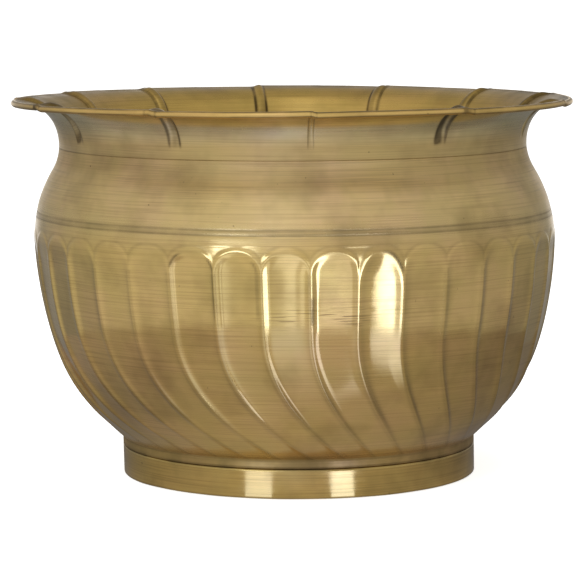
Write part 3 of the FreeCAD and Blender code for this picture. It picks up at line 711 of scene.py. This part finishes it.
# ---------------------------------------------------------------- materials
class Tree:
    """Small helper for building a node tree."""

    def __init__(self, owner):
        owner.use_nodes = True
        self.tree = owner.node_tree
        self.tree.nodes.clear()

    def add(self, kind, **settings):
        node = self.tree.nodes.new(kind)
        for name, value in settings.items():
            setattr(node, name, value)
        return node

    def link(self, output, socket):
        self.tree.links.new(output, socket)

    def feed(self, socket, value):
        """Link an output, or set a plain value."""
        if isinstance(value, bpy.types.NodeSocket):
            self.link(value, socket)
        else:
            socket.default_value = value

    def math(self, operation, a, b=0.0, c=0.0, clamp=False):
        node = self.add("ShaderNodeMath", operation=operation, use_clamp=clamp)
        for socket, value in zip(node.inputs, (a, b, c)):
            self.feed(socket, value)
        return node.outputs[0]

    def span(self, value, low, high, out_low, out_high):
        node = self.add("ShaderNodeMapRange")
        for socket, item in zip(node.inputs, (value, low, high, out_low, out_high)):
            self.feed(socket, item)
        return node.outputs[0]

    def mix(self, share, a, b, blend="MIX"):
        node = self.add("ShaderNodeMix", data_type="RGBA", blend_type=blend)
        self.feed(node.inputs["Factor"], share)
        self.feed(node.inputs[6], a)
        self.feed(node.inputs[7], b)
        return node.outputs[2]

    def noise(self, vector, scale, detail=2.0, rough=0.5):
        node = self.add("ShaderNodeTexNoise")
        self.link(vector, node.inputs["Vector"])
        node.inputs["Scale"].default_value = scale
        node.inputs["Detail"].default_value = detail
        node.inputs["Roughness"].default_value = rough
        return node.outputs["Fac"]

    def stretched(self, around, across):
        """Coordinates for marks that run round the pot: slow round it, quick along its section."""
        place = self.add("ShaderNodeTexCoord")
        split = self.add("ShaderNodeSeparateXYZ")
        self.link(place.outputs["Object"], split.inputs[0])
        turning = self.add("ShaderNodeUVMap", uv_map="turning")
        along = self.add("ShaderNodeSeparateXYZ")
        self.link(turning.outputs[0], along.inputs[0])
        join = self.add("ShaderNodeCombineXYZ")
        self.link(self.math("MULTIPLY", split.outputs[0], around), join.inputs[0])
        self.link(self.math("MULTIPLY", split.outputs[1], around), join.inputs[1])
        self.link(self.math("MULTIPLY", along.outputs[1], across), join.inputs[2])
        return join.outputs[0]

    def place(self):
        return self.add("ShaderNodeTexCoord").outputs["Object"]

    def finish(self, shader):
        self.link(shader.outputs[0], self.add("ShaderNodeOutputMaterial").inputs[0])

    def metal(self, colour, rough, bump):
        """Bare metal surface, which is also the material's output."""
        shader = self.add("ShaderNodeBsdfPrincipled")
        shader.inputs["Metallic"].default_value = 1.0
        self.link(colour, shader.inputs["Base Color"])
        self.link(rough, shader.inputs["Roughness"])
        if bump is not None:
            self.link(bump.outputs[0], shader.inputs["Normal"])
        self.finish(shader)
        return shader

    def attribute(self, name):
        return self.add("ShaderNodeAttribute", attribute_name=name).outputs["Fac"]


BRASS = (0.86, 0.63, 0.27, 1.0)
OLIVE_BRASS = (0.74, 0.58, 0.24, 1.0)
PINK_BRASS = (0.87, 0.60, 0.32, 1.0)
GOLD_BRASS = (0.92, 0.68, 0.26, 1.0)
FLUTE_TINT = (1.0, 0.97, 0.82, 1.0)
INNER_TINT = (0.92, 0.83, 0.52, 1.0)
# painted reflection: paler, bluer tint for the outside of the flare under the lip
LIP_REFLECTION_TINT = (0.98, 1.14, 1.5, 1.0)
# painted highlight: brighter, warmer tint for the bead
BEAD_HIGHLIGHT_TINT = (1.16, 1.06, 0.8, 1.0)
# dark of the painted shade and grime
SOOT_AND_SHADE = (0.05, 0.035, 0.02, 1.0)
TARNISH = (0.16, 0.09, 0.035, 1.0)
LIP_TINT_FROM, LIP_TINT_TO = 0.154, 0.163     # heights over which the flare takes its painted reflection tint, in metres
NECK_NEAR, NECK_FAR = 0.005, 0.016      # reach of the tarnish each side of the seam
SCUFF_HEIGHT = 0.083
SCUFF_MIDDLE, SCUFF_WIDTH = 6.0, 9.0    # degrees from the front
COAT = 0.12                 # weight and roughness of the thin lacquer


def brass(name, base, tint, gloss, line_depth, tint_share, worn=0.0):
    """Spun brass: fine lines round the axis, patches of warmer metal, painted shade and grime in the
    creases, a painted highlight on the bead and a painted reflection tint under the lip.

    The metal above the flutes is less smooth by the amount worn."""
    material = bpy.data.materials.new(name)
    t = Tree(material)
    lines = t.noise(t.stretched(22.0, 1900.0), 1.0, 1.0, 0.5)
    broad = t.noise(t.stretched(6.0, 420.0), 1.0, 3.0, 0.6)
    patches = t.noise(t.place(), 22.0, 4.0, 0.6)
    streaks = t.noise(t.stretched(4.0, 90.0), 1.0, 3.0, 0.6)
    smudges = t.noise(t.place(), 60.0, 3.0, 0.6)
    specks = t.noise(t.place(), 420.0, 1.0, 0.5)
    # painted shade and grime from the mesh: creases, grooves, corners, insides and the bead
    shade_and_grime = t.attribute("shade_and_grime")

    colour = t.mix(t.span(patches, 0.4, 0.62, 0.0, tint_share), base, tint)
    colour = t.mix(t.span(streaks, 0.4, 0.62, 0.0, 0.3), colour, OLIVE_BRASS)
    colour = t.mix(t.span(lines, 0.45, 0.75, 0.0, 0.26), colour, TARNISH)
    colour = t.mix(t.span(smudges, 0.42, 0.66, 0.0, 0.45), colour, OLIVE_BRASS)
    dull = t.noise(t.place(), 38.0, 3.0, 0.55)
    colour = t.mix(t.span(dull, 0.47, 0.7, 0.0, 0.3), colour, TARNISH)
    pits = t.span(specks, 0.79, 0.82, 0.0, 0.6)
    # painted shade and grime, and pits, darken the metal towards soot
    shade_and_dirt = t.math("MULTIPLY", shade_and_grime, t.span(smudges, 0.3, 0.6, 0.55, 1.0))
    shade_and_dirt = t.math("MAXIMUM", shade_and_dirt, pits, clamp=True)
    colour = t.mix(t.math("MULTIPLY", shade_and_dirt, 0.85), colour, SOOT_AND_SHADE)

    level = t.add("ShaderNodeSeparateXYZ")
    t.link(t.place(), level.inputs[0])
    band_top = BAND_TOP[1] * MM
    aged = t.span(level.outputs[2], band_top - 0.004, band_top + 0.006, 1.0, 0.0)
    colour = t.mix(aged, colour, FLUTE_TINT, "MULTIPLY")
    inner = t.attribute("inner")
    colour = t.mix(t.span(inner, 0.5, 1.0, 0.0, 1.0), colour, INNER_TINT, "MULTIPLY")
    # painted reflection: the outside of the flare under the lip made paler and bluer
    lip_reflection = t.math("MULTIPLY", t.span(level.outputs[2], LIP_TINT_FROM, LIP_TINT_TO, 0.0, 1.0),
                   t.span(inner, 0.0, 0.4, 1.0, 0.0))
    colour = t.mix(lip_reflection, colour, LIP_REFLECTION_TINT, "MULTIPLY")
    # painted highlight: the bead, marked 0.5 in inner, made brighter and warmer
    edge = t.math("MULTIPLY", t.span(inner, 0.3, 0.5, 0.0, 1.0), t.span(inner, 0.5, 0.7, 1.0, 0.0))
    colour = t.mix(edge, colour, BEAD_HIGHLIGHT_TINT, "MULTIPLY")
    off_neck = t.math("ABSOLUTE", t.math("SUBTRACT", level.outputs[2], SEAM_HEIGHT * MM))
    neck = t.span(off_neck, NECK_NEAR, NECK_FAR, 1.0, 0.0)
    colour = t.mix(t.math("MULTIPLY", neck, 0.17), colour, TARNISH)
    off_scuffs = t.math("ABSOLUTE", t.math("SUBTRACT", level.outputs[2], SCUFF_HEIGHT))
    scratches = t.noise(t.stretched(70.0, 1500.0), 1.0, 1.0, 0.5)
    scuffs = t.math("MULTIPLY", t.span(off_scuffs, 0.001, 0.007, 1.0, 0.0),
                    t.span(scratches, 0.58, 0.66, 0.0, 0.75))
    scuffs = t.math("MULTIPLY", scuffs, hump(t, azimuth_of(t), SCUFF_MIDDLE, SCUFF_WIDTH))
    colour = t.mix(scuffs, colour, TARNISH)

    rough = t.math("ADD", t.span(smudges, 0.35, 0.7, gloss, gloss + 0.06),
                   t.span(broad, 0.35, 0.65, 0.0, 0.05))
    rough = t.math("ADD", rough, t.math("MULTIPLY", shade_and_dirt, 0.3))
    rough = t.math("ADD", rough, t.span(level.outputs[2], band_top, band_top + 0.012, 0.0, worn))
    tray = TRAY_HEIGHT * MM
    rough = t.math("ADD", rough, t.span(level.outputs[2], tray, tray + 0.005, worn, 0.0))
    rough = t.math("MULTIPLY_ADD", neck, 0.16, rough)

    height = t.math("ADD", t.math("MULTIPLY", lines, 0.35), broad)
    bump = t.add("ShaderNodeBump")
    bump.inputs["Strength"].default_value = 1.0
    bump.inputs["Distance"].default_value = line_depth
    t.link(height, bump.inputs["Height"])

    shader = t.metal(colour, rough, bump)
    shader.inputs["Coat Weight"].default_value = COAT
    shader.inputs["Coat Roughness"].default_value = COAT
    return material


def wire_steel():
    material = bpy.data.materials.new("drawn_wire")
    t = Tree(material)
    spots = t.noise(t.place(), 300.0, 3.0, 0.6)
    colour = t.mix(spots, (0.42, 0.4, 0.37, 1.0), (0.2, 0.12, 0.07, 1.0))
    t.metal(colour, t.span(spots, 0.3, 0.7, 0.35, 0.6), None)
    return material


def braze_metal():
    material = bpy.data.materials.new("braze_filler")
    t = Tree(material)
    flow = t.noise(t.place(), 160.0, 4.0, 0.6)
    colour = t.mix(t.span(flow, 0.3, 0.7, 0.0, 1.0), (0.62, 0.5, 0.3, 1.0), (0.3, 0.22, 0.13, 1.0))
    bump = t.add("ShaderNodeBump")
    bump.inputs["Distance"].default_value = 0.0003
    t.link(flow, bump.inputs["Height"])
    t.metal(colour, t.span(flow, 0.3, 0.7, 0.3, 0.55), bump)
    return material


# ---------------------------------------------------------------- studio
TABLE_RADIUS = 0.267        # round table that the metal reflects
TABLE_COLOUR = (1.0, 0.92, 0.86, 1.0)
STRIP_DISTANCE = 2.6
# direction from the front, width, lower and upper end as seen from the pot, all in degrees; plain
# light of its pool on the table (None for no pool); and strength
STRIPS = ((-26.0, 17.0, 2.0, 10.0, 0.0, 2.0), (27.0, 15.0, -31.0, 0.0, 0.6, 2.4),
          (13.0, 12.0, -31.0, 0.0, None, 0.3), (-7.0, 7.0, -31.0, -5.0, None, 0.35),
          (-20.0, 8.0, -31.0, -5.0, None, 0.3))
COOL_LIGHT = (0.85, 1.02, 1.6, 1.0)     # daylight of the strips, beside the warmer room
POOL_LIGHT = (0.85, 1.04, 2.0, 1.0)
COOL_ROOM = (1.0, 1.02, 1.14, 1.0)
COOL_TABLE = (0.98, 1.04, 1.35, 1.0)
# bell curves round the pot, each with its middle and width in degrees from the front
ROOM_FRONT, ROOM_NARROW = (-18.0, 72.0), (-9.0, 8.0)
TABLE_FRONT, TABLE_LEFT, TABLE_COOL = (-4.0, 47.0), (-100.0, 30.0), (-5.0, 8.0)
ROOM_LEVEL = 0.3            # how bright the room is at and below eye level
TABLE_DIM = 0.17            # how bright the table is away from the front
TABLE_GLOSS = 4.4           # how strongly the table mirrors the strips at a low angle
FLOOR_REACH = 40.0
FLOOR_LEVEL = -0.0002       # the stage's flat panels lie just under the pot, one below the other
POOL_LEVEL = -0.0003
TABLE_LEVEL = -0.0006


def flat_panel(name, corners, material):
    mesh = bpy.data.meshes.new(name)
    mesh.from_pydata(corners, [], [tuple(range(len(corners)))])
    panel = bpy.data.objects.new(name, mesh)
    panel.data.materials.append(material)
    bpy.context.scene.collection.objects.link(panel)
    return panel


def only_reflected(panel):
    panel.visible_camera = False
    panel.visible_diffuse = False
    panel.visible_shadow = False
    panel.visible_transmission = False


def azimuth_of(t):
    """Direction from the axis of the place being shaded, in radians from the front."""
    split = t.add("ShaderNodeSeparateXYZ")
    t.link(t.place(), split.inputs[0])
    return t.math("ARCTAN2", split.outputs[0], t.math("MULTIPLY", split.outputs[1], -1.0))


def hump(t, azimuth, middle, width):
    """Bell curve of the azimuth: middle and width in degrees."""
    offset = t.math("DIVIDE", t.math("SUBTRACT", azimuth, math.radians(middle)), math.radians(width))
    return t.math("POWER", math.e, t.math("MULTIPLY", t.math("MULTIPLY", offset, offset), -0.5))


def far_out(t, near, far):
    """0 to 1 with the distance from the axis, in metres."""
    reach = t.add("ShaderNodeVectorMath", operation="LENGTH")
    t.link(t.place(), reach.inputs[0])
    return t.span(reach.outputs["Value"], near, far, 0.0, 1.0)


def table_top():
    """Pale table as the metal sees it: brightest towards the front."""
    material = bpy.data.materials.new("table_top")
    t = Tree(material)
    light = t.add("ShaderNodeEmission")
    azimuth = azimuth_of(t)
    away = far_out(t, 0.1, 0.22)
    level = t.math("MULTIPLY_ADD", hump(t, azimuth, *TABLE_FRONT), 0.32, TABLE_DIM)
    left = t.math("MULTIPLY", hump(t, azimuth, *TABLE_LEFT), away)
    level = t.math("MULTIPLY_ADD", left, 0.1, level)
    level = t.math("MULTIPLY", level, t.math("MULTIPLY_ADD", away, 0.17, 0.83))
    soft = t.math("MULTIPLY", hump(t, azimuth, *TABLE_COOL), away)
    t.link(t.mix(soft, TABLE_COLOUR, COOL_TABLE), light.inputs["Color"])
    t.link(t.math("MULTIPLY_ADD", soft, 0.2, level), light.inputs["Strength"])
    t.finish(light)
    return material


def see_through_glow(name, strength, gloss):
    """Light that adds to what is behind it, so that pieces that don't receive it see past it."""
    material = bpy.data.materials.new(name)
    t = Tree(material)
    light = t.add("ShaderNodeEmission")
    light.inputs["Color"].default_value = POOL_LIGHT if gloss else COOL_LIGHT
    if gloss:
        strength = t.math("MULTIPLY", far_out(t, 0.125, 0.17), strength)
    mirror = t.math("POWER", t.add("ShaderNodeFresnel").outputs[0], 2.0)
    first = t.math("LESS_THAN", t.add("ShaderNodeLightPath").outputs["Ray Depth"], 1.5)
    t.link(t.math("MULTIPLY", t.math("MULTIPLY_ADD", mirror, gloss, strength), first),
           light.inputs["Strength"])
    both = t.add("ShaderNodeAddShader")
    t.link(light.outputs[0], both.inputs[0])
    t.link(t.add("ShaderNodeBsdfTransparent").outputs[0], both.inputs[1])
    t.finish(both)
    return material


def floor_white():
    material = bpy.data.materials.new("studio_floor")
    t = Tree(material)
    shader = t.add("ShaderNodeBsdfDiffuse")
    shader.inputs["Color"].default_value = (0.9, 0.9, 0.9, 1.0)
    light = t.add("ShaderNodeEmission")
    light.inputs["Strength"].default_value = 0.75
    both = t.add("ShaderNodeAddShader")
    t.link(shader.outputs[0], both.inputs[0])
    t.link(light.outputs[0], both.inputs[1])
    t.finish(both)
    return material


def make_world():
    """Soft room: brightest in front, dimmer at the sides, bright behind; white to the camera."""
    world = bpy.data.worlds.new("soft_room")
    bpy.context.scene.world = world
    t = Tree(world)
    split = t.add("ShaderNodeSeparateXYZ")
    t.link(t.add("ShaderNodeTexCoord").outputs["Generated"], split.inputs[0])
    front = t.math("MULTIPLY", split.outputs[1], -1.0)
    azimuth = t.math("ARCTAN2", split.outputs[0], front)
    sideways = t.math("ABSOLUTE", azimuth)
    high = t.span(split.outputs[2], 0.1, 0.5, 0.0, 1.0)
    low = t.span(split.outputs[2], -0.25, 0.0, 1.0, 0.0)
    behind = t.span(sideways, math.radians(150.0), math.radians(170.0), 0.0, 0.7)
    behind = t.math("MULTIPLY", behind, t.span(split.outputs[2], -0.14, -0.08, 0.0, 1.0))
    behind = t.math("MULTIPLY", behind, t.span(split.outputs[2], 0.12, 0.28, 1.0, 0.0))
    wide = t.math("MULTIPLY_ADD", high, -0.05, 0.35)
    wide = t.math("MULTIPLY", hump(t, azimuth, *ROOM_FRONT), wide)
    window = hump(t, azimuth, *ROOM_NARROW)
    narrow = t.math("MULTIPLY", window, t.math("MULTIPLY_ADD", high, 0.19, 0.05))
    level = t.math("MULTIPLY_ADD", high, 0.1, ROOM_LEVEL)
    level = t.math("ADD", t.math("ADD", level, wide), narrow)
    shade = t.math("MULTIPLY", low, t.span(sideways, math.radians(100.0), math.radians(135.0), 0.0, 0.4))
    level = t.math("ADD", t.math("MULTIPLY", level, t.math("SUBTRACT", 1.0, shade)), behind)
    room = t.add("ShaderNodeBackground")
    t.link(t.mix(window, (1.0, 0.99, 0.97, 1.0), COOL_ROOM), room.inputs["Color"])
    t.link(level, room.inputs["Strength"])
    white = t.add("ShaderNodeBackground")
    white.inputs["Color"].default_value = (1.0, 1.0, 1.0, 1.0)
    white.inputs["Strength"].default_value = 1.05
    seen = t.add("ShaderNodeMixShader")
    t.link(t.add("ShaderNodeLightPath").outputs["Is Camera Ray"], seen.inputs[0])
    t.link(room.outputs[0], seen.inputs[1])
    t.link(white.outputs[0], seen.inputs[2])
    t.link(seen.outputs[0], t.add("ShaderNodeOutputWorld").inputs[0])


def make_stage():
    corners = [(FLOOR_REACH * x, FLOOR_REACH * y, FLOOR_LEVEL)
               for x, y in ((-1, -1), (1, -1), (1, 1), (-1, 1))]
    floor = flat_panel("floor", corners, floor_white())
    floor.visible_glossy = False
    rim = [(TABLE_RADIUS * math.sin(turn), -TABLE_RADIUS * math.cos(turn), TABLE_LEVEL)
           for turn in np.radians(np.arange(0, 360, 3))]
    only_reflected(flat_panel("table_reflected", rim, table_top()))


def make_strips(receivers):
    """Tall soft lights in front, and the pools that some throw on the table, for bowl and foot."""
    group = bpy.data.collections.new("lit_by_strips")
    for piece in receivers:
        group.objects.link(piece)
    for index, (azimuth, width, low, high, thrown, strength) in enumerate(STRIPS):
        light = see_through_glow("strip_glow_%d" % index, strength, 0.0)
        turns = [math.radians(azimuth - width / 2), math.radians(azimuth + width / 2)]
        levels = [STRIP_DISTANCE * math.tan(math.radians(value)) for value in (low, high)]
        tall = [(STRIP_DISTANCE * math.sin(turn), -STRIP_DISTANCE * math.cos(turn), level)
                for turn, level in ((turns[0], levels[0]), (turns[1], levels[0]),
                                    (turns[1], levels[1]), (turns[0], levels[1]))]
        foot = FOOT_RADIUS * MM
        flat = [(foot * math.sin(turn / 2) + reach * math.sin(turn),
                 -foot * math.cos(turn / 2) - reach * math.cos(turn), POOL_LEVEL)
                for turn, reach in ((turns[0], TABLE_RADIUS - foot), (turns[1], TABLE_RADIUS - foot),
                                    (turns[1], 0.0), (turns[0], 0.0))]
        shapes = [("strip_light_%d" % index, tall, light)]
        if thrown is not None:
            pool = see_through_glow("pool_glow_%d" % index, thrown, TABLE_GLOSS)
            shapes.append(("light_pool_%d" % index, flat, pool))
        for name, corners, material in shapes:
            panel = flat_panel(name, corners, material)
            only_reflected(panel)
            panel.light_linking.receiver_collection = group


def make_lamp():
    """Broad soft light overhead for the floor's faint shadow."""
    data = bpy.data.lights.new("soft_box", "AREA")
    data.shape = "DISK"
    data.size = 2.5
    data.energy = 30.0
    lamp = bpy.data.objects.new("soft_box", data)
    lamp.location = (-0.4, -0.6, 2.2)
    lamp.rotation_euler = (Vector((0, 0, 0)) - lamp.location).to_track_quat("-Z", "Y").to_euler()
    lamp.visible_glossy = False
    bpy.context.scene.collection.objects.link(lamp)


def make_camera():
    data = bpy.data.cameras.new("camera")
    data.lens = 184.5
    data.sensor_width = 36.0
    data.clip_end = 200.0
    camera = bpy.data.objects.new("camera", data)
    camera.location = (-0.0048, -1.3413, 0.2327)
    aim = Vector((-0.0048, 0.0, 0.0833))
    camera.rotation_euler = (aim - camera.location).to_track_quat("-Z", "Y").to_euler()
    camera.rotation_euler.rotate_axis("Z", math.radians(-0.24))
    bpy.context.scene.collection.objects.link(camera)
    bpy.context.scene.camera = camera


bpy.context.scene.view_settings.view_transform = "Standard"
make_camera()
make_world()
make_stage()
make_lamp()

bowl_brass = brass("bowl_brass", BRASS, PINK_BRASS, 0.08, 0.000012, 0.7, 0.2)
collar_brass = brass("collar_brass", BRASS, PINK_BRASS, 0.16, 0.000012, 0.5)
foot_brass = brass("foot_brass", GOLD_BRASS, PINK_BRASS, 0.1, 0.00001, 0.3)
braze = braze_metal()
bowl = make_bowl(bowl_brass)
make_collar(collar_brass)
make_wire(wire_steel())
foot = make_foot(foot_brass)
make_strips((bowl, foot))
make_neck_fill(braze)
make_fill("foot_joint_fill", (FOOT_RADIUS - FOOT_STRIP, FOOT_HEIGHT), 2.0,
          np.linspace(math.pi, 1.5 * math.pi, 8), braze, "foot_braze", SEED + 6)
